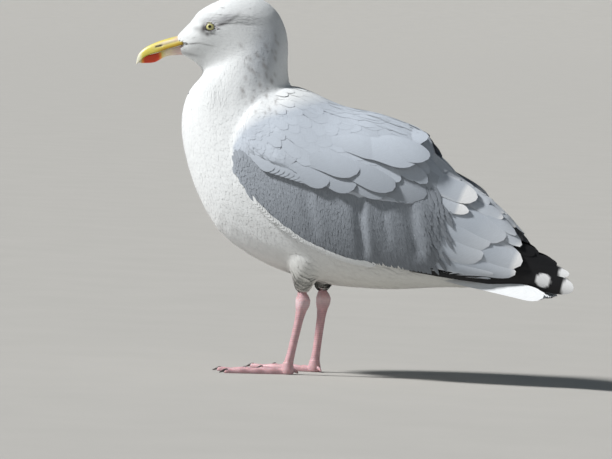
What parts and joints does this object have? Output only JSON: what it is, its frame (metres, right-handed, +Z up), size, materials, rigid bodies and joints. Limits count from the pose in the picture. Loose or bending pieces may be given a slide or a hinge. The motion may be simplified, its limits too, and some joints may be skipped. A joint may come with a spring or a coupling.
{
  "type": "herring gull model",
  "caption": "Life-size still model of an adult herring gull standing at rest on webbed feet, wings folded, head turned slightly to its left.",
  "frame": {"origin": "on the floor, under the middle of the bounding box", "axes": "+Z up, bill towards -X, tail towards +X, the gull's left side towards -Y"},
  "size_m": [0.5048, 0.1506, 0.4193],
  "materials": {
    "plumage_white": "soft white feathers over skin",
    "plumage_grey": "pale blue-grey flight and shoulder feathers, matt",
    "plumage_black": "black wing-tip feathers with white tips and spots, low sheen",
    "tail_white": "white tail feathers",
    "bill_horn": "yellow horn with an orange-red spot, satin",
    "eye_glass": "clear gloss over a pale yellow iris and black pupil",
    "leg_skin": "flesh-pink scaled skin, satin",
    "claw_horn": "dark horn claws, satin",
    "eye_rim": "orange-yellow bare rim of the eyelids"
  },
  "bodies": {
    "root": {"trunk": "plumage_white", "neck": "plumage_white", "head": "plumage_white", "tail": "tail_white", "bill_upper": "bill_horn", "bill_lower": "bill_horn", "eye_left": "eye_glass", "eye_right": "eye_glass", "wing_left": "plumage_grey", "scapulars_left": "plumage_grey", "tertials_left": "plumage_grey", "primaries_left": "plumage_black", "thigh_left": "plumage_white", "shank_left": "leg_skin", "foot_left": "leg_skin", "wing_right": "plumage_grey", "scapulars_right": "plumage_grey", "tertials_right": "plumage_grey", "primaries_right": "plumage_black", "thigh_right": "plumage_white", "shank_right": "leg_skin", "foot_right": "leg_skin"}
  },
  "joints": []
}
